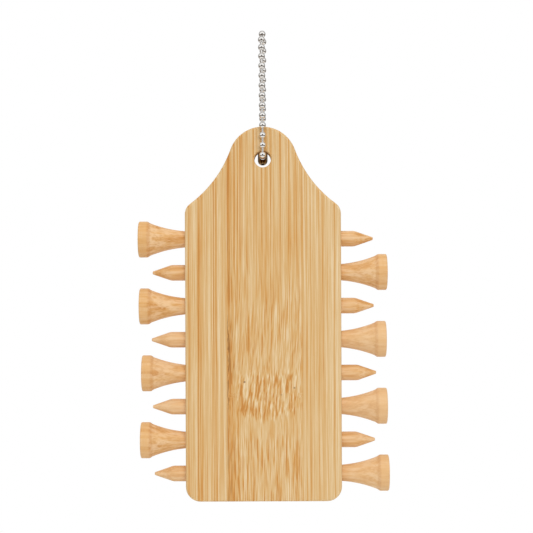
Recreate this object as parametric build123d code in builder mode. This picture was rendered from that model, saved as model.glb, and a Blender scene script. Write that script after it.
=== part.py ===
"""A bamboo tee holder: eight wooden golf tees in a tag-shaped board on a ball chain.

The board is edge-glued from three upright bamboo strips. Eight holes cross it from side to
side, and a tee is pushed into each, its head left and right in turn. A ball chain passes
through the hole in the board's neck and is closed behind it by a snap connector.

Millimetres. +Z is up, +X is to the right and +Y is to the back. The origin is the underside
of the chain's top bead, where a hook or a ring carries the holder.
"""

from build123d import *
from math import cos, radians, sin, sqrt
import os

# board
BOARD_WIDTH = 54.7
BOARD_HEIGHT = 131.3
BOARD_THICKNESS = 10.0
BOARD_TOP = -31.9  # height of the dome's crown
DOME_RADIUS = 12.0
DOME_TANGENT = 20.0  # degrees off upright where the dome runs into the flank
SHOULDER_DROP = 28.2  # crown to where the flank would meet the side
SHOULDER_RADIUS = 4.5
FOOT_RADIUS = 5.2
BOARD_EDGE_RADIUS = 0.8
LEFT_GLUE_LINE = -12.7
RIGHT_GLUE_LINE = 13.6
HOLE_DROP = 11.4  # crown to the centre of the hanging hole
HOLE_RADIUS = 2.9
HOLE_CHAMFER = 0.35

# tees
TEE_COUNT = 8
TEE_TOP_DROP = 39.3  # crown to the first tee
TEE_PITCH = 11.81
TEE_LENGTH = 82.55
HEAD_RADIUS = 6.35
HEAD_DEPTH = 3.1  # straight rim of the head
HEAD_LIP = 0.9  # flat ring around the cup
HEAD_EDGE_RADIUS = 0.45
HEAD_CORNER_RADIUS = 1.2  # rim to flare
FLARE_TOP_RADIUS = 5.72  # the flare starts here, under the rim
FLARE_TOP_DEPTH = 4.0
FLARE_END = 19.4  # head's end face to the plain shank
SHANK_RADIUS = 2.76
CONE_LENGTH = 6.6
CONE_CORNER_RADIUS = 4.0
TIP_RADIUS = 0.48
TIP_EDGE_RADIUS = 0.35
GOLF_BALL_RADIUS = 21.35  # the cup in the head fits the ball
BORE_RADIUS = 3.1
BORE_CHAMFER = 0.25
HEAD_REACH = 43.4  # centre line to the head's end face
SEATING = (0.4, 0.15, 0.15, -0.25, -0.6, 0.05, -0.1, 0.6)  # how much further out each tee stands

# ball chain
BEAD_RADIUS = 1.2
BEAD_WALL = 0.18
BEAD_HOLE_RADIUS = 0.42
BEAD_PITCH = 3.467
ARCH_TILTS = (48, 31, 20, 10, 5)  # the top links, degrees off upright
ROW_COUNT = 10  # rows of one front and one back bead above the connector
FRONT_TAIL_COUNT = 3  # front beads that lie against the board
THROUGH_COUNT = 3  # beads inside the hanging hole
THROUGH_GAP = 0.15  # between those beads and the top of the hole
STRAND_TWIST = 0.3  # sideways shift of the two strands at the top
WIRE_RADIUS = 0.34
PIN_HEAD_RADIUS = 0.5
PIN_HEAD_NEAR = 0.56  # bead centre to the near and the far face of a pin's head
PIN_HEAD_FAR = 0.74

# connector
CONNECTOR_GAP = 0.25  # behind the board
CONNECTOR_RADIUS = 1.75
CONNECTOR_WALL = 0.3
CONNECTOR_LOW = -43.0  # height of the bead held in its lower end
SLOT_WIDTH = 0.9
WINDOW_WIDTH = 2.5
WINDOW_LENGTH = 3.2

HALF_WIDTH = BOARD_WIDTH / 2
HALF_THICKNESS = BOARD_THICKNESS / 2
BOARD_BOTTOM = BOARD_TOP - BOARD_HEIGHT
HOLE_Z = BOARD_TOP - HOLE_DROP
THROUGH_Z = HOLE_Z + HOLE_RADIUS - BEAD_RADIUS - THROUGH_GAP
CONNECTOR_Y = HALF_THICKNESS + CONNECTOR_GAP + CONNECTOR_RADIUS

os.makedirs("parts", exist_ok=True)


def save(piece, name):
    """Labels a finished piece and writes its STEP file."""
    piece.label = name
    export_step(piece, f"parts/{name}.step")


# ---------------------------------------------------------------- board


def tee_height(row):
    """Height of a tee's axis, the top one being row 1."""
    return BOARD_TOP - TEE_TOP_DROP - TEE_PITCH * (row - 1)


def on_dome(angle):
    """A point of the dome, at an angle above its widest level."""
    centre = BOARD_TOP - DOME_RADIUS
    return DOME_RADIUS * cos(radians(angle)), centre + DOME_RADIUS * sin(radians(angle))


with BuildPart() as board:
    with BuildSketch(Plane.XZ.offset(-HALF_THICKNESS)) as outline:
        with BuildLine():
            crown = (0, BOARD_TOP)
            dome_end = on_dome(DOME_TANGENT)
            shoulder = (HALF_WIDTH, BOARD_TOP - SHOULDER_DROP)
            ThreePointArc(crown, on_dome((90 + DOME_TANGENT) / 2), dome_end)
            leaving = (sin(radians(DOME_TANGENT)), -cos(radians(DOME_TANGENT)))
            TangentArc(dome_end, shoulder, tangent=leaving)
            Polyline(shoulder, (HALF_WIDTH, BOARD_BOTTOM), (0, BOARD_BOTTOM))
            mirror(about=Plane.YZ)
        make_face()
        fillet(outline.vertices().group_by(Axis.Y)[0], FOOT_RADIUS)
        fillet(outline.vertices().group_by(Axis.Y)[-2], SHOULDER_RADIUS)
    extrude(amount=BOARD_THICKNESS)
    fillet(faces().filter_by(Axis.Y).edges(), BOARD_EDGE_RADIUS)
    with BuildSketch(Plane.XZ.offset(-HALF_THICKNESS)):
        with Locations((0, HOLE_Z)):
            Circle(HOLE_RADIUS)
    extrude(amount=BOARD_THICKNESS, mode=Mode.SUBTRACT)
    rims = edges().filter_by(GeomType.CIRCLE).filter_by(lambda e: e.radius == HOLE_RADIUS)
    chamfer(rims, HOLE_CHAMFER)
    with BuildSketch(Plane.YZ.offset(-HALF_WIDTH)):
        with Locations([(0, tee_height(row)) for row in range(1, TEE_COUNT + 1)]):
            Circle(BORE_RADIUS)
    extrude(amount=BOARD_WIDTH, mode=Mode.SUBTRACT)
    mouths = edges().filter_by(GeomType.CIRCLE).filter_by(lambda e: e.radius == BORE_RADIUS)
    chamfer(mouths, BORE_CHAMFER)


def cut_strip(low_x, high_x):
    """The part of the board between two glue lines."""
    with BuildPart() as strip:
        add(board.part)
        with Locations(((low_x + high_x) / 2, 0, BOARD_TOP - BOARD_HEIGHT / 2)):
            Box(high_x - low_x, BOARD_THICKNESS, BOARD_HEIGHT, mode=Mode.INTERSECT)
    return strip.part


save(cut_strip(-HALF_WIDTH, LEFT_GLUE_LINE), "board_left_strip")
save(cut_strip(LEFT_GLUE_LINE, RIGHT_GLUE_LINE), "board_center_strip")
save(cut_strip(RIGHT_GLUE_LINE, HALF_WIDTH), "board_right_strip")


# ---------------------------------------------------------------- tees


def ball_sag(radius):
    """How deep a golf ball's surface reaches below a ring of this radius."""
    return GOLF_BALL_RADIUS - sqrt(GOLF_BALL_RADIUS**2 - radius**2)


def make_tee(row):
    """A turned tee, its cup facing left in odd rows and right in even ones."""
    side = -1 if row % 2 else 1
    reach = HEAD_REACH + SEATING[row - 1]
    lathe = Plane(
        origin=(side * reach, 0, tee_height(row)), x_dir=(-side, 0, 0), z_dir=(0, side, 0)
    )
    cup_radius = HEAD_RADIUS - HEAD_LIP
    cup_depth = ball_sag(cup_radius)
    half_cup = (cup_depth - ball_sag(cup_radius / 2), cup_radius / 2)
    rim = (0, HEAD_RADIUS)
    rim_corner = (HEAD_DEPTH, HEAD_RADIUS)
    flare_start = (FLARE_TOP_DEPTH, FLARE_TOP_RADIUS)
    flare_end = (FLARE_END, SHANK_RADIUS)
    cone_start = (TEE_LENGTH - CONE_LENGTH, SHANK_RADIUS)
    tip_end = (TEE_LENGTH, TIP_RADIUS)
    with BuildPart() as tee:
        with BuildSketch(lathe) as profile:
            with BuildLine():
                ThreePointArc((cup_depth, 0), half_cup, (0, cup_radius))
                Polyline((0, cup_radius), rim, rim_corner, flare_start)
                TangentArc(flare_end, flare_start, tangent=(-1, 0))
                Polyline(flare_end, cone_start, tip_end, (TEE_LENGTH, 0), (cup_depth, 0))
            make_face()
            for corner, radius in (
                (rim, HEAD_EDGE_RADIUS),
                (rim_corner, HEAD_CORNER_RADIUS),
                (cone_start, CONE_CORNER_RADIUS),
                (tip_end, TIP_EDGE_RADIUS),
            ):
                fillet(profile.vertices().sort_by_distance(corner)[0], radius)
        revolve(axis=Axis(lathe.origin, lathe.x_dir))
    return tee.part


for row in range(1, TEE_COUNT + 1):
    save(make_tee(row), f"tee_{row}")


# ---------------------------------------------------------------- ball chain


def strand_bead(row, side):
    """Centre of the bead this many rows below the top, in front (-1) or behind (1)."""
    tilts = (ARCH_TILTS + (0,) * row)[:row]
    out = BEAD_PITCH * sum(sin(radians(tilt)) for tilt in tilts)
    down = BEAD_PITCH * sum(cos(radians(tilt)) for tilt in tilts)
    twist = STRAND_TWIST * max(0.0, 1 - row / ROW_COUNT) if row else 0.0
    return Vector(side * twist, side * out, BEAD_RADIUS - down)


def bead_in_hole(number):
    """Centre of a bead inside the hanging hole, counted from the front."""
    front = strand_bead(ROW_COUNT + FRONT_TAIL_COUNT, -1).Y
    step = (CONNECTOR_Y - front) / (THROUGH_COUNT + 1)
    return Vector(0, front + step * number, THROUGH_Z)


def chain_route():
    """{bead name: centre} along the open chain, from the connector's top to its bottom."""
    upper = Vector(0, CONNECTOR_Y, strand_bead(ROW_COUNT + 1, 1).Z)
    route = {"connector_bead_upper": upper}
    route |= {f"bead_back_{row}": strand_bead(row, 1) for row in range(ROW_COUNT, 0, -1)}
    route["bead_top"] = strand_bead(0, 1)
    front_count = ROW_COUNT + FRONT_TAIL_COUNT
    route |= {f"bead_front_{row}": strand_bead(row, -1) for row in range(1, front_count + 1)}
    route |= {f"bead_in_hole_{i}": bead_in_hole(i) for i in range(1, THROUGH_COUNT + 1)}
    route["connector_bead_lower"] = Vector(0, CONNECTOR_Y, CONNECTOR_LOW)
    return route


def link_plane(start, end):
    """A plane at a bead's centre, facing along the link to its neighbour."""
    along = (end - start).normalized()
    return Plane(origin=start, x_dir=Vector(1, 0, 0).cross(along), z_dir=along)


def make_bead(centre, neighbours):
    """A hollow bead with a round hole towards each neighbour."""
    with BuildPart() as bead:
        with Locations(centre):
            Sphere(BEAD_RADIUS)
            Sphere(BEAD_RADIUS - BEAD_WALL, mode=Mode.SUBTRACT)
        for neighbour in neighbours:
            with BuildSketch(link_plane(centre, neighbour)):
                Circle(BEAD_HOLE_RADIUS)
            extrude(amount=BEAD_RADIUS, mode=Mode.SUBTRACT)
    return bead.part


def make_pins(links):
    """The dumbbell pins of some links, each a wire with a flat head inside both beads."""
    head_depth = PIN_HEAD_FAR - PIN_HEAD_NEAR
    with BuildPart() as pins:
        for start, end in links:
            plane = link_plane(start, end)
            length = (end - start).length
            with BuildSketch(plane.offset(PIN_HEAD_NEAR), plane.offset(length - PIN_HEAD_FAR)):
                Circle(PIN_HEAD_RADIUS)
            extrude(amount=head_depth)
            with BuildSketch(plane.offset(PIN_HEAD_NEAR)):
                Circle(WIRE_RADIUS)
            extrude(amount=length - 2 * PIN_HEAD_NEAR)
    return pins.part


route = chain_route()
centres = list(route.values())
links = list(zip(centres, centres[1:]))
for index, (name, centre) in enumerate(route.items()):
    neighbours = [centres[i] for i in (index - 1, index + 1) if 0 <= i < len(centres)]
    save(make_bead(centre, neighbours), name)

# each row's two pins lead up to the row above, and the rest follow the board
for row in range(1, ROW_COUNT + 1):
    upper = [link for link in links if route[f"bead_back_{row}"] == link[0]]
    upper += [link for link in links if route[f"bead_front_{row}"] == link[1]]
    save(make_pins(upper), f"pins_row_{row}")
first_tail = centres.index(route[f"bead_front_{ROW_COUNT}"])
save(make_pins(links[first_tail:] + links[:1]), "pins_at_board")


# ---------------------------------------------------------------- connector

upper_z = route["connector_bead_upper"].Z
sleeve_length = upper_z - CONNECTOR_LOW
sleeve_middle = (upper_z + CONNECTOR_LOW) / 2
inner_radius = CONNECTOR_RADIUS - CONNECTOR_WALL

with BuildPart() as connector:
    for radius, mode in ((CONNECTOR_RADIUS, Mode.ADD), (inner_radius, Mode.SUBTRACT)):
        with Locations((0, CONNECTOR_Y, sleeve_middle)):
            Cylinder(radius, sleeve_length, mode=mode)
        with Locations((0, CONNECTOR_Y, upper_z), (0, CONNECTOR_Y, CONNECTOR_LOW)):
            Sphere(radius, mode=mode)
    slot_depth = CONNECTOR_RADIUS * 2
    slot_centre = (0, CONNECTOR_Y - slot_depth / 2, sleeve_middle)
    with Locations(slot_centre):
        Box(SLOT_WIDTH, slot_depth, sleeve_length + 2 * slot_depth, mode=Mode.SUBTRACT)
        Box(WINDOW_WIDTH, slot_depth, WINDOW_LENGTH, mode=Mode.SUBTRACT)
    with BuildSketch(Plane.XY.offset(CONNECTOR_LOW - slot_depth)):
        with Locations((0, CONNECTOR_Y)):
            Circle(SLOT_WIDTH / 2)
    extrude(amount=sleeve_length + 2 * slot_depth, mode=Mode.SUBTRACT)
save(connector.part, "chain_connector")
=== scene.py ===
import math

import bpy
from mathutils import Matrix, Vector


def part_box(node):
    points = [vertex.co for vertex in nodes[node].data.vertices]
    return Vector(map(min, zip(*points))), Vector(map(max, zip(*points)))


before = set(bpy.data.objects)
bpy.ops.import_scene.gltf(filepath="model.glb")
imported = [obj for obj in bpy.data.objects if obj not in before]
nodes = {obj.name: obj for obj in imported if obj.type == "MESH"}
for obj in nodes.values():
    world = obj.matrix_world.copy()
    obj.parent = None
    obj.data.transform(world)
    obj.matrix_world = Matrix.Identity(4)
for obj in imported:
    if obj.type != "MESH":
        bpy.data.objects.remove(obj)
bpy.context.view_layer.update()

scene = bpy.context.scene
MM = 1000.0  # millimetres in a metre


# ---- camera ---------------------------------------------------------------------------------
LENS = 100  # mm
CAMERA_PLACE = (0.0012, -0.523, -0.0809)
CAMERA_ROLL = 0.24  # degrees


def make_camera():
    """Looks straight at the front of the board, turned a hair about its view."""
    data = bpy.data.cameras.new("camera")
    data.lens = LENS
    data.sensor_width = 36
    data.clip_start = 0.01
    data.clip_end = 20
    camera = bpy.data.objects.new("camera", data)
    camera.location = CAMERA_PLACE
    camera.rotation_euler = (math.radians(90), math.radians(CAMERA_ROLL), 0)
    scene.collection.objects.link(camera)
    scene.camera = camera


make_camera()
scene.view_settings.view_transform = "Standard"


# ---- building node trees --------------------------------------------------------------------
class Tree:
    """The node tree of a material or a world, built from empty."""

    def __init__(self, owner):
        owner.use_nodes = True
        self.tree = owner.node_tree
        self.tree.nodes.clear()

    def add(self, kind, **settings):
        """Adds a shader node and sets its properties."""
        node = self.tree.nodes.new("ShaderNode" + kind)
        for key, value in settings.items():
            setattr(node, key, value)
        return node

    def give(self, socket, value):
        """Links a socket to another, or sets it to a constant."""
        if isinstance(value, bpy.types.NodeSocket):
            self.tree.links.new(value, socket)
        else:
            socket.default_value = value

    def spread(self, value, low, high, start=0.0, end=1.0, easing="LINEAR"):
        """Goes from start to end as value goes from low to high."""
        node = self.add("MapRange", interpolation_type=easing)
        for name, item in zip(("Value", "From Min", "From Max", "To Min", "To Max"),
                              (value, low, high, start, end)):
            self.give(node.inputs[name], item)
        return node.outputs[0]

    def step(self, value, low, high, start=0.0, end=1.0):
        """As spread, but with soft ends."""
        return self.spread(value, low, high, start, end, "SMOOTHSTEP")

    def ramp(self, value, stops):
        """A colour ramp. A stop is (position, grey or colour), in rising order."""
        node = self.add("ValToRGB")
        elements = node.color_ramp.elements
        while len(elements) < len(stops):
            elements.new(1.0)
        for element, (position, colour) in zip(elements, stops):
            tone = colour if isinstance(colour, tuple) else (colour,) * 3
            element.position = position
            element.color = (*tone, 1.0)
        self.give(node.inputs[0], value)
        return node.outputs[0]

    def mix(self, amount, a, b):
        """Goes from colour a to colour b as amount goes from 0 to 1."""
        node = self.add("Mix", data_type="RGBA")
        self.give(node.inputs[0], amount)
        for socket, value in ((node.inputs[6], a), (node.inputs[7], b)):
            self.give(socket, (*value, 1.0) if isinstance(value, tuple) else value)
        return node.outputs[2]


class Material(Tree):
    """A material on one shader. Lengths in its textures are millimetres in the object's frame."""

    def __init__(self, name):
        self.material = bpy.data.materials.new(name)
        super().__init__(self.material)
        self.shader = self.add("BsdfPrincipled")
        self.give(self.add("OutputMaterial").inputs["Surface"], self.shader.outputs["BSDF"])
        scaled = self.add("VectorMath", operation="SCALE")
        self.give(scaled.inputs[0], self.add("TexCoord").outputs["Object"])
        scaled.inputs["Scale"].default_value = MM
        self.place = scaled.outputs[0]
        split = self.add("SeparateXYZ")
        self.give(split.inputs[0], self.place)
        self.x, self.y, self.z = split.outputs

    def math(self, operation, *values):
        node = self.add("Math", operation=operation)
        for socket, value in zip(node.inputs, values):
            self.give(socket, value)
        return node.outputs[0]

    def sum(self, total, *others):
        for other in others:
            total = self.math("ADD", total, other)
        return total

    def times(self, product, *others):
        for other in others:
            product = self.math("MULTIPLY", product, other)
        return product

    def square(self, value):
        return self.math("POWER", self.math("ABSOLUTE", value), 2.0)

    def rest(self, share):
        """What a share leaves of 1."""
        return self.sum(1.0, self.times(share, -1.0))

    def peaks(self, noise, low, high, amount):
        """The amount where the noise is above high, and 0 where it is below low."""
        return self.step(noise, low, high, 0.0, amount)

    def dips(self, noise, low, high, amount):
        """The amount where the noise is below low, and 0 where it is above high."""
        return self.step(noise, low, high, amount, 0.0)

    def window(self, value, low, high, soft):
        """1 between low and high, 0 outside, with soft edges."""
        rise = self.step(value, low - soft, low + soft)
        fall = self.step(value, high - soft, high + soft, 1.0, 0.0)
        return self.times(rise, fall)

    def profile(self, low, high, stops):
        """A grey that follows height: a stop at 0 is at the height low, and one at 1 at high."""
        return self.ramp(self.step(self.z, low, high), stops)

    def vector(self, x, y, z):
        node = self.add("CombineXYZ")
        for socket, value in zip(node.inputs, (x, y, z)):
            self.give(socket, value)
        return node.outputs[0]

    def noise(self, scales, place=None, detail=2.0, roughness=0.5):
        """Noise around 0.5, with as many waves per millimetre along each axis as scales say."""
        stretched = self.add("VectorMath", operation="MULTIPLY")
        self.give(stretched.inputs[0], place or self.place)
        stretched.inputs[1].default_value = scales
        node = self.add("TexNoise")
        self.give(node.inputs["Vector"], stretched.outputs[0])
        node.inputs["Scale"].default_value = 1.0
        node.inputs["Detail"].default_value = detail
        node.inputs["Roughness"].default_value = roughness
        return node.outputs[0]

    def surface(self, colour, roughness, gloss=0.5):
        self.give(self.shader.inputs["Base Color"], colour)
        self.give(self.shader.inputs["Roughness"], roughness)
        self.give(self.shader.inputs["Specular IOR Level"], gloss)

    def bump(self, height, distance, strength):
        """Surface relief, distance in millimetres."""
        node = self.add("Bump")
        node.inputs["Distance"].default_value = distance / MM
        node.inputs["Strength"].default_value = strength
        self.give(node.inputs["Height"], height)
        self.give(self.shader.inputs["Normal"], node.outputs[0])

    def dress(self, *names):
        """Puts the material on CAD nodes."""
        for name in names:
            mesh = nodes[name].data
            mesh.materials.clear()
            mesh.materials.append(self.material)


# ---- bamboo ---------------------------------------------------------------------------------
WOOD_GLOSS = 0.35
CREAM = (0.86, 0.66, 0.40)
PALE = (0.79, 0.56, 0.292)
TAN = (0.735, 0.465, 0.195)
ORANGE = (0.69, 0.345, 0.092)
DEEP = (0.60, 0.255, 0.055)
BROWN = (0.20, 0.085, 0.022)
BAMBOO_TONES = [(0.0, CREAM), (0.2, PALE), (0.48, TAN), (0.85, ORANGE), (1.0, DEEP)]
BOARD_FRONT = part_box("board_center_strip")[0].y * MM
GRAIN_SLANT = 0.42  # how far across a line moves for each millimetre of depth
GRAIN_WANDER = 0.7  # how far across a line strays, mm
LINE_MARGIN = 3.0  # mm
LINE_STRENGTH = 0.9
BAND_STRENGTH = 0.07


class Bamboo(Material):
    """Bamboo with its fibres along Z. Its level goes from pale ground at 0 to dark fibres at 1."""

    def __init__(self, name, lines, seed, base):
        super().__init__(name)
        slant = self.times(self.sum(self.y, -BOARD_FRONT), GRAIN_SLANT)
        sway = self.sum(self.noise((0.05, 0.05, 0.02), detail=1.0), -0.5)
        self.across = self.sum(self.x, slant, self.times(sway, GRAIN_WANDER))
        self.straight = self.vector(self.across, self.sum(self.y, seed), self.z)

        self.fibres = self.noise((4.2, 3.2, 0.03), self.straight, roughness=0.6)
        self.hairs = self.noise((8.0, 7.0, 0.16), self.straight, roughness=0.6)
        self.fine = self.sum(self.step(self.fibres, 0.32, 0.7, -0.22, 0.38),
                             self.step(self.hairs, 0.3, 0.7, -0.08, 0.1))
        bands = self.noise((0.6, 0.4, 0.004), self.straight, roughness=0.6)
        ground = self.step(bands, 0.3, 0.7, base - BAND_STRENGTH, base + BAND_STRENGTH)
        drawn = self.times(self.grain_lines(lines), self.step(self.fibres, 0.25, 0.6, 0.8, 1.1))
        self.level = self.sum(ground, self.fine, self.times(drawn, LINE_STRENGTH))

    def grain_lines(self, lines):
        """Darker lines at fixed places. One ramp holds every other line, so that two may touch."""
        ramps = []
        for group in (lines[::2], lines[1::2]):
            low = group[0][0] - LINE_MARGIN
            high = group[-1][0] + LINE_MARGIN
            stops = []
            for place, half_width, depth in group:
                for edge, tone in ((-half_width, 0.0), (0.0, depth), (half_width, 0.0)):
                    stops.append(((place + edge - low) / (high - low), tone))
            ramps.append(self.ramp(self.spread(self.across, low, high), stops))
        return self.sum(*ramps)

    def cover(self, share, level):
        """Replaces a share of the level with another level."""
        self.level = self.sum(self.times(self.level, self.rest(share)), self.times(level, share))

    def finish(self, strip, stains=()):
        """Colours the level, and adds stains and a satin lacquer over slightly raised fibres."""
        colour = self.ramp(self.level, BAMBOO_TONES)
        for stain in stains:
            colour = self.mix(stain, colour, BROWN)
        self.surface(colour, self.step(self.fibres, 0.3, 0.7, 0.46, 0.6), WOOD_GLOSS)
        self.bump(self.sum(self.times(self.fibres, 0.7), self.times(self.hairs, 0.3)), 0.04, 0.3)
        self.dress(strip)


# A line is (place across, half width, depth of tone), in mm from the middle of the board.
LEFT_LINES = [(-26.1, 0.36, 0.85), (-25.6, 0.28, 0.3), (-22.85, 0.28, 0.75), (-22.0, 1.5, 0.55),
              (-19.8, 0.28, 0.45), (-18.0, 0.24, 0.2), (-17.35, 0.28, 1.0), (-16.7, 0.4, 0.35),
              (-16.3, 0.28, 0.85), (-14.2, 0.28, 0.35), (-12.9, 0.28, 0.5)]
CENTER_LINES = [(-12.1, 1.3, 0.7), (-10.0, 0.32, 0.6), (-8.9, 0.28, 0.55), (-7.9, 0.28, 0.65),
                (-7.25, 0.28, 0.9), (-5.4, 0.4, 0.55), (-3.2, 0.44, 0.5), (-2.3, 0.28, 0.75),
                (-0.5, 0.32, 0.5), (1.0, 0.7, 0.35), (2.6, 0.36, 0.85), (6.1, 0.32, 0.7),
                (9.0, 0.32, 0.55), (10.7, 0.28, 0.6), (11.6, 0.4, 0.3), (13.6, 0.36, 0.65)]
RIGHT_LINES = [(13.7, 0.4, 0.5), (15.1, 0.48, 0.45), (16.6, 0.28, 0.5), (17.6, 0.28, 0.4),
               (19.5, 0.28, 0.5), (20.9, 0.8, 0.35), (22.5, 0.28, 0.25), (24.9, 0.48, 0.45),
               (26.5, 0.24, 0.15)]

Bamboo("bamboo_left", LEFT_LINES, seed=3.0, base=0.24).finish("board_left_strip")
Bamboo("bamboo_right", RIGHT_LINES, seed=41.0, base=0.23).finish("board_right_strip")

# ---- the centre strip, cut nearer the skin --------------------------------------------------
# Its fibres break into dashes towards a knot ring. Heights and places across are in mm.
BOARD_FOOT = -163.0
DASHES_BEGIN = -62.0
DASHES_FULL = -96.0
LINES_KEPT = 0.25  # how far the lines still show through the dashes
LEAN_TURNS = -70.0
LEAN = 0.04  # slope of the dashes at the height LEAN_TURNS
LEAN_BEND = 0.00115  # how fast that slope changes with height
DASH_NEAR = 24.0  # a dash's length goes with DASH_NEAR plus its distance from the knot
DASH_CROWDING = 7.0
DASHES_APART = 40.0  # keeps the dashes above the knot from mirroring those below it
KNOT_MIDDLE = -126.0
KNOT_TOP = -118.0
KNOT_BOTTOM = -134.0
KNOT_LEFT = -9.5
KNOT_RIGHT = 12.0
KNOT_SAG = 0.03  # how much the knot's lower edge rises towards its sides
KNOT_RAGGED = 10.0  # how far the knot's edges fray
KNOT_TILT = -0.08  # slope of its flames
KNOT_COVER = 0.9  # how much of the strip's grain it hides
EDGE_LEFT = -13.5  # the darker fibres beside the glue line
EDGE_RIGHT = -10.3
PITS = [(-6.7, -121.3, 0.8), (10.8, -123.4, 0.6), (6.2, -125.8, 0.3)]  # across, height, strength
PIT_RADIUS = 0.35


def place_of_dashes(wood):
    """A place where dashes get longer away from the knot and lean as they near it."""
    distance = wood.math("ABSOLUTE", wood.sum(wood.z, -KNOT_MIDDLE))
    growth = wood.math("LOGARITHM", wood.sum(distance, DASH_NEAR), math.e)
    along = wood.times(growth, DASH_CROWDING)
    above = wood.step(wood.z, KNOT_MIDDLE - 1.0, KNOT_MIDDLE + 1.0)
    height = wood.math("MAXIMUM", wood.z, KNOT_TOP)
    bend = wood.times(wood.square(wood.sum(height, -LEAN_TURNS)), LEAN_BEND)
    across = wood.sum(wood.across, wood.sum(wood.times(height, LEAN), bend))
    return wood.vector(across, wood.y, wood.sum(along, wood.times(above, DASHES_APART)))


def add_dashes(wood, place):
    """Lets dashes and thin slivers take over from the straight lines on the way down."""
    dash = wood.noise((3.2, 0.5, 0.8), place, detail=0.5)
    sliver = wood.noise((5.0, 0.8, 1.1), place, detail=1.0)
    marks = wood.sum(wood.peaks(dash, 0.53, 0.65, 0.52), wood.dips(dash, 0.34, 0.48, -0.2),
                     wood.step(sliver, 0.35, 0.68, -0.16, 0.3))
    strength = wood.profile(BOARD_FOOT, -100.0, [(0.0, 1.0), (0.25, 0.9), (0.36, 0.5),
                                                 (0.44, 0.5), (0.55, 0.8)])
    swell = wood.noise((0.35, 0.3, 0.5), place, detail=1.0)
    ground = wood.sum(wood.step(swell, 0.3, 0.7, 0.26, 0.36), wood.times(wood.fine, 0.6))
    dashes = wood.sum(wood.times(ground, 1.0 - LINES_KEPT), wood.times(marks, strength))
    share = wood.step(wood.z, DASHES_FULL, DASHES_BEGIN, 1.0, 0.0)
    lines = wood.times(wood.level, wood.step(share, 0.0, 1.0, 1.0, LINES_KEPT))
    wood.level = wood.sum(lines, wood.times(dashes, share))


def add_knot(wood, place):
    """A ring of short, steep flames with a frayed outline."""
    fray = wood.sum(wood.noise((1.3, 0.5, 0.0), place), -0.5)
    height = wood.sum(wood.z, wood.times(fray, KNOT_RAGGED))
    bow = wood.times(wood.square(wood.sum(wood.across, -1.0)), -KNOT_SAG)
    knot = wood.times(wood.step(wood.sum(height, bow), KNOT_BOTTOM - 1.0, KNOT_BOTTOM + 1.0),
                      wood.step(height, KNOT_TOP - 1.5, KNOT_TOP + 1.5, 1.0, 0.0),
                      wood.window(wood.across, KNOT_LEFT, KNOT_RIGHT, 1.0))
    tilted = wood.vector(wood.sum(wood.across, wood.times(wood.z, KNOT_TILT)), wood.y, wood.z)
    flame = wood.noise((1.35, 0.4, 0.11), tilted, detail=1.5)
    needle = wood.noise((4.2, 0.5, 0.34), tilted, detail=1.0)
    flames = wood.sum(wood.peaks(flame, 0.43, 0.57, 0.74),
                      wood.step(wood.z, -131.0, -120.0, 0.19, -0.03),
                      wood.step(needle, 0.4, 0.6, -0.3, 0.36))
    wood.cover(wood.times(knot, KNOT_COVER), flames)


def add_dark_edge(wood):
    """Darker fibres along the left glue line. Returns their streaks and scratches, as stains."""
    edge = wood.window(wood.across, EDGE_LEFT, EDGE_RIGHT, 0.8)
    wood.level = wood.sum(wood.level, wood.times(edge, wood.step(wood.z, -70.0, -90.0, 0.08, 0.34)))

    shade = wood.noise((1.3, 0.5, 0.09), wood.straight)
    by_height = wood.profile(BOARD_FOOT, -80.0, [(0.0, 0.8), (0.15, 0.6), (0.3, 0.25),
                                                 (0.4, 0.9), (0.75, 0.9), (1.0, 0.3)])
    streaks = wood.times(edge, by_height, wood.step(wood.across, -12.0, -11.0, 1.0, 0.4),
                         wood.peaks(shade, 0.46, 0.64, 0.5))

    scratch = wood.noise((3.4, 0.5, 0.34), wood.straight, detail=1.0)
    scratches = wood.times(wood.window(wood.across, -13.3, -11.9, 0.3),
                           wood.window(wood.z, -131.0, -99.0, 2.0),
                           wood.peaks(scratch, 0.49, 0.57, 0.55))
    return [streaks, scratches]


def pits(wood):
    """Small dark pits in the knot, as stains."""
    stains = []
    flat = wood.vector(wood.x, 0.0, wood.z)
    for x, z, strength in PITS:
        reach = wood.add("VectorMath", operation="DISTANCE")
        wood.give(reach.inputs[0], flat)
        reach.inputs[1].default_value = (x, 0.0, z)
        pit = wood.dips(reach.outputs["Value"], PIT_RADIUS * 0.4, PIT_RADIUS * 1.5, strength)
        stains.append(pit)
    return stains


def center_strip():
    wood = Bamboo("bamboo_center", CENTER_LINES, seed=17.0, base=0.3)
    place = place_of_dashes(wood)
    add_dashes(wood, place)
    add_knot(wood, place)
    stains = add_dark_edge(wood) + pits(wood)
    wood.finish("board_center_strip", stains)


center_strip()


# ---- tees -----------------------------------------------------------------------------------
TEE_TAN = (0.785, 0.445, 0.172)
TEE_PALE = (0.885, 0.595, 0.33)
TEE_DARK = (0.62, 0.27, 0.065)
TEE_RIM = (0.79, 0.45, 0.17)
TEE_END_GRAIN_AND_SHADE = (0.68, 0.37, 0.135)  # end grain in the cup, darkened also as painted shade of the hollow
TEE_PALENESS = (0.0, 0.1, 0.0, 0.45, 0.15, 0.5, 0.1, 0.35)  # how much paler each tee is
RIM_DEPTH = 3.1  # mm
CUP_RADIUS = 5.45
CUP_LIP = 0.85  # how far in from the head's face the cup's end grain and painted shade start


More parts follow.
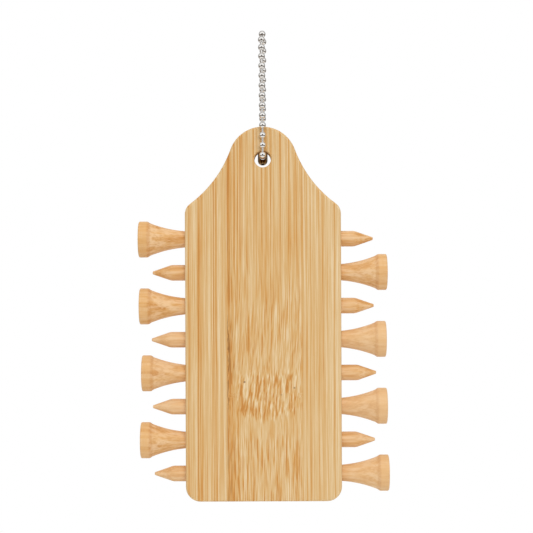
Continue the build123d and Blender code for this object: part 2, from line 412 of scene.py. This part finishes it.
def turned_wood(wood, place, grain):
    """Pale and dark streaks along the tee, and small flecks."""
    broad = wood.noise((0.035, 0.3, 0.3), place, detail=1.5)
    streaks = wood.noise((0.06, 0.7, 0.7), place, detail=0.5)
    flecks = wood.noise((0.22, 2.4, 2.4), place, detail=1.0)
    colour = wood.ramp(wood.sum(wood.times(broad, 0.62), wood.times(grain, 0.38)),
                       [(0.36, TEE_DARK), (0.46, TEE_TAN), (0.56, TEE_TAN), (0.66, TEE_PALE)])
    colour = wood.mix(wood.peaks(streaks, 0.44, 0.66, 0.85), colour, TEE_PALE)
    colour = wood.mix(wood.dips(streaks, 0.3, 0.48, 0.4), colour, TEE_DARK)
    colour = wood.mix(wood.peaks(flecks, 0.5, 0.74, 0.42), colour, TEE_DARK)
    return wood.mix(wood.dips(flecks, 0.28, 0.5, 0.5), colour, TEE_PALE)


def end_grain_and_shade(wood, place, inward, radius):
    """Rings and open pores, where the head's cup cuts across the grain, on a darker tone that is
    partly painted shade of the hollow.
    """
    rings = wood.noise((1.0, 1.0, 1.0), wood.vector(wood.times(radius, 1.6),
                                                    wood.times(inward, 0.1), 0.0), detail=1.5)
    pores = wood.noise((0.6, 6.0, 6.0), place, detail=1.0)
    colour = wood.mix(wood.peaks(pores, 0.4, 0.7, 0.5), TEE_END_GRAIN_AND_SHADE, TEE_DARK)
    return wood.mix(wood.peaks(rings, 0.35, 0.65, 0.45), colour, TEE_TAN)


def tee_wood(tee):
    """Turned wood with its grain along the tee, a finely turned rim and a cup of end grain,
    darkened partly as painted shade.
    """
    name = f"tee_{tee}"
    low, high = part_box(name)
    wood = Material(f"tee_wood_{tee}")
    if tee % 2:
        inward = wood.sum(wood.x, -low.x * MM)
    else:
        inward = wood.sum(wood.times(wood.x, -1.0), high.x * MM)
    place = wood.vector(inward, wood.y, wood.z)
    height = wood.sum(wood.z, -(low.z + high.z) / 2 * MM)
    radius = wood.math("SQRT", wood.sum(wood.times(wood.y, wood.y), wood.times(height, height)))

    grain = wood.noise((0.1, 4.0, 4.0), place, roughness=0.6)
    turning = wood.noise((3.2, 0.12, 0.12), place)
    rim = wood.step(inward, RIM_DEPTH - 0.5, RIM_DEPTH + 0.3, 1.0, 0.0)
    burr = wood.window(inward, RIM_DEPTH - 0.1, RIM_DEPTH + 1.1, 0.35)
    cup = wood.times(wood.step(inward, CUP_LIP - 0.1, CUP_LIP + 0.1, 1.0, 0.0),
                     wood.step(radius, CUP_RADIUS - 0.15, CUP_RADIUS + 0.15, 1.0, 0.0))

    colour = turned_wood(wood, place, grain)
    turned = wood.times(rim, wood.step(turning, 0.35, 0.65, 0.35, 0.75))
    colour = wood.mix(turned, colour, TEE_RIM)
    colour = wood.mix(wood.times(burr, 0.35), colour, TEE_DARK)
    colour = wood.mix(TEE_PALENESS[tee - 1], colour, TEE_PALE)
    # The cup gets a darker end-grain colour: real end grain, and painted shade of the shallow
    # hollow.
    colour = wood.mix(wood.times(cup, 0.85), colour, end_grain_and_shade(wood, place, inward, radius))
    wood.surface(colour, wood.step(grain, 0.3, 0.7, 0.48, 0.62), WOOD_GLOSS)
    wood.bump(wood.sum(wood.times(grain, 0.6), wood.times(turning, rim, 0.5)), 0.03, 0.3)
    wood.dress(name)


for tee in range(1, 9):
    tee_wood(tee)


# ---- chain ----------------------------------------------------------------------------------
def plated(name, colour, roughness, worn, names):
    """Plated steel with faint handling marks, worn being the tone of the darkest. Bright for beads
    and pins; a dark colour given here is painted shade.
    """
    steel = Material(name)
    marks = steel.noise((2.2, 2.2, 2.2), detail=3.0, roughness=0.6)
    scratches = steel.noise((14.0, 14.0, 3.0), roughness=0.6)
    dulled = tuple(channel * worn for channel in colour)
    steel.surface(steel.ramp(marks, [(0.35, dulled), (0.6, colour)]),
                  steel.step(marks, 0.3, 0.7, roughness * 1.5, roughness))
    steel.shader.inputs["Metallic"].default_value = 1.0
    steel.bump(steel.sum(steel.times(marks, 0.6), steel.times(scratches, 0.4)), 0.01, 0.2)
    steel.dress(*names)


held_beads = ["connector_bead_upper", "connector_bead_lower"]
beads = sorted(name for name in nodes if "bead" in name and name not in held_beads)
pins = sorted(name for name in nodes if name.startswith("pins"))
plated("bead_nickel", (0.92, 0.90, 0.87), 0.1, 0.92, beads)
plated("pin_steel", (0.88, 0.86, 0.83), 0.14, 0.9, pins)
# The connector and the two beads it holds get a dark brown colour: painted shade and painted
# reflection of the wood around them in the hole, not the steel's own tone.
plated("connector_steel", (0.27, 0.17, 0.075), 0.18, 0.8, ["chain_connector", *held_beads])


# ---- studio ---------------------------------------------------------------------------------
# A stop is (height, colour): 0 is straight down, 0.5 the horizon, 1 straight up.
FRONT_ROOM = [(0.0, (0.68, 0.64, 0.58)), (0.12, (0.66, 0.60, 0.52)), (0.17, (0.10, 0.065, 0.04)),
              (0.44, (0.12, 0.09, 0.07)), (0.49, (1.0, 1.0, 1.0)), (1.0, (1.0, 1.0, 1.0))]
BACK_ROOM = [(0.0, (0.24, 0.20, 0.16)), (0.4, (0.22, 0.18, 0.14)), (0.55, (0.38, 0.37, 0.36)),
             (1.0, (0.5, 0.5, 0.5))]
SOFT_LIGHT = [(0.0, (0.42, 0.41, 0.40)), (0.5, (0.53, 0.53, 0.53)), (1.0, (0.70, 0.70, 0.70))]
SPOT_DIRECTION = (0.0, -0.995, 0.1)
SPOT_TONE = (0.06, 0.055, 0.05)
WHITE = (1.0, 1.0, 1.0)
LIGHTS_AIM = (0, 0, -0.09)
FLOOR_RADIUS = 0.75
FLOOR_HEIGHT = -0.34


def make_world():
    """White to the camera and a soft light. In reflections, a room with a dark spot in front."""
    world = bpy.data.worlds.new("studio")
    scene.world = world
    sky = Tree(world)
    direction = sky.add("TexCoord").outputs["Generated"]
    split = sky.add("SeparateXYZ")
    sky.give(split.inputs[0], direction)
    height = sky.spread(split.outputs["Z"], -1.0, 1.0)
    in_front = sky.step(split.outputs["Y"], 0.15, -0.25)
    facing = sky.add("VectorMath", operation="DOT_PRODUCT")
    sky.give(facing.inputs[0], direction)
    facing.inputs[1].default_value = SPOT_DIRECTION
    spot = sky.step(facing.outputs["Value"], 0.88, 0.95)

    front = sky.mix(spot, sky.ramp(height, FRONT_ROOM), SPOT_TONE)
    mirrored = sky.mix(in_front, sky.ramp(height, BACK_ROOM), front)
    rays = sky.add("LightPath")
    lit = sky.mix(rays.outputs["Is Glossy Ray"], sky.ramp(height, SOFT_LIGHT), mirrored)
    seen = sky.mix(rays.outputs["Is Camera Ray"], lit, WHITE)
    background = sky.add("Background")
    sky.give(background.inputs["Color"], seen)
    sky.give(sky.add("OutputWorld").inputs["Surface"], background.outputs[0])


def make_light(name, place, size, power):
    """A soft panel that lights the object without showing in reflections."""
    data = bpy.data.lights.new(name, "AREA")
    data.shape = "RECTANGLE"
    data.size, data.size_y = size
    data.energy = power
    light = bpy.data.objects.new(name, data)
    light.location = place
    light.visible_glossy = False
    aim = Vector(LIGHTS_AIM) - Vector(place)
    light.rotation_euler = aim.to_track_quat("-Z", "Y").to_euler()
    scene.collection.objects.link(light)


def make_floor():
    """A pale round table top far below the object, fading out towards its rim."""
    bpy.ops.mesh.primitive_circle_add(vertices=96, radius=FLOOR_RADIUS, fill_type="TRIFAN",
                                      location=(0, 0, FLOOR_HEIGHT))
    floor = bpy.context.object
    floor.name = "studio_floor"
    paint = Material("studio_floor")
    paint.surface((0.86, 0.86, 0.85, 1), 0.7, 0.2)
    reach = paint.add("VectorMath", operation="LENGTH")
    paint.give(reach.inputs[0], paint.place)
    fade = paint.step(reach.outputs["Value"], FLOOR_RADIUS * 0.97 * MM, FLOOR_RADIUS * 0.45 * MM)
    paint.give(paint.shader.inputs["Alpha"], fade)
    floor.data.materials.append(paint.material)


make_world()
make_light("key", (0.2, -1.2, 0.55), (1.1, 0.9), 7.75)
make_light("fill", (-0.2, 1.2, 0.5), (1.1, 0.9), 5.0)
make_light("top", (-0.1, -0.1, 0.9), (0.9, 0.9), 1.6)
make_floor()
